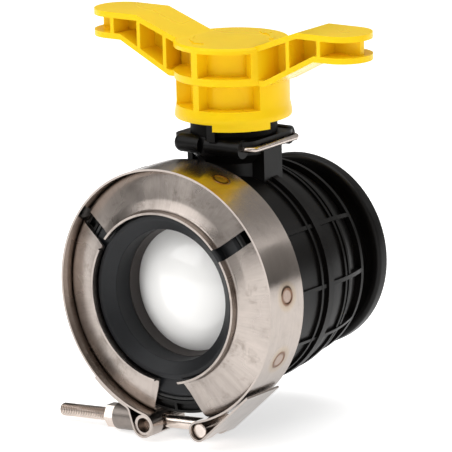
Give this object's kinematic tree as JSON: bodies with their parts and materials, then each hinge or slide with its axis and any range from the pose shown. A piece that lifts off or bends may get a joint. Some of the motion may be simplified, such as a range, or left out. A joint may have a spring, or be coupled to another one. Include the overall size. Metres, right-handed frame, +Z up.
{
  "type": "quarter-turn ball valve",
  "caption": "Quarter-turn moulded ball valve with a crosswise lever handle, ribbed body, recessed outlet flange and a stainless V-band T-bolt clamp on its container port.",
  "frame": {"origin": "centre of the container port's front face, on the flow axis", "axes": "+Y along the flow, from the container port to the outlet flange; +Z up the stem towards the handle; +X to the right seen from the container"},
  "size_m": [0.1908, 0.1475, 0.2387],
  "materials": {
    "body_plastic": "satin moulded, glass filled",
    "carrier_plastic": "satin turned and moulded",
    "seat_plastic": "waxy",
    "ball_plastic": "glossy moulded",
    "stem_plastic": "satin moulded",
    "washer_plastic": "waxy",
    "handle_plastic": "satin gloss moulded",
    "seal_rubber": "smooth",
    "clip_steel": "drawn wire, bright",
    "segment_steel": "pressed stainless sheet",
    "band_steel": "bright rolled stainless strap, heat tinted at the welds",
    "bolt_steel": "machined stainless",
    "spacer_steel": "dull plated steel",
    "nut_steel": "machined stainless"
  },
  "bodies": {
    "valve": {"valve_body": "body_plastic", "seat_carrier": "carrier_plastic", "front_seat": "seat_plastic", "rear_seat": "seat_plastic", "front_seat_ring": "seal_rubber", "rear_seat_ring": "seal_rubber", "carrier_ring": "seal_rubber", "container_seal": "seal_rubber", "stem_washer": "washer_plastic"},
    "handle": {"handle": "handle_plastic", "stem": "stem_plastic", "lower_stem_ring": "seal_rubber", "upper_stem_ring": "seal_rubber"},
    "ball": {"ball": "ball_plastic"},
    "clip": {"retaining_clip": "clip_steel"},
    "clamp": {"clamp_band": "band_steel", "clamp_segment_left": "segment_steel", "clamp_segment_top": "segment_steel", "clamp_segment_right": "segment_steel", "t_bolt": "bolt_steel", "trunnion": "bolt_steel"},
    "spacer": {"clamp_spacer": "spacer_steel"},
    "nut": {"clamp_nut": "nut_steel"}
  },
  "joints": [
    {"name": "handle_turn", "type": "hinge", "parent": "valve", "child": "handle", "pos_m": [0, 0.0715, 0.1], "axis": [0, 0, 1], "range_deg": [0, 90]},
    {"name": "ball_turn", "type": "hinge", "parent": "valve", "child": "ball", "pos_m": [0, 0.0715, 0], "axis": [0, 0, 1], "range_deg": [0, 90]},
    {"name": "clip_pull", "type": "slide", "parent": "valve", "child": "clip", "axis": [1, 0, 0], "range_m": [0, 0.05]},
    {"name": "clamp_turn", "type": "hinge", "parent": "valve", "child": "clamp", "pos_m": [0, 0, 0], "axis": [0, 1, 0], "continuous": true},
    {"name": "spacer_slide", "type": "slide", "parent": "clamp", "child": "spacer", "axis": [-0.9989, 0, -0.0459], "range_m": [0, 0.0319]},
    {"name": "nut_turn", "type": "hinge", "parent": "spacer", "child": "nut", "pos_m": [-0.04692, 0.01565, -0.08034], "axis": [-0.9989, 0, -0.0459], "range_deg": [0, 9200]}
  ],
  "couplings": [
    {"joint": "ball_turn", "follows": "handle_turn", "ratio": 1},
    {"joint": "nut_turn", "follows": "spacer_slide", "rad_per_m": 5026.5}
  ]
}
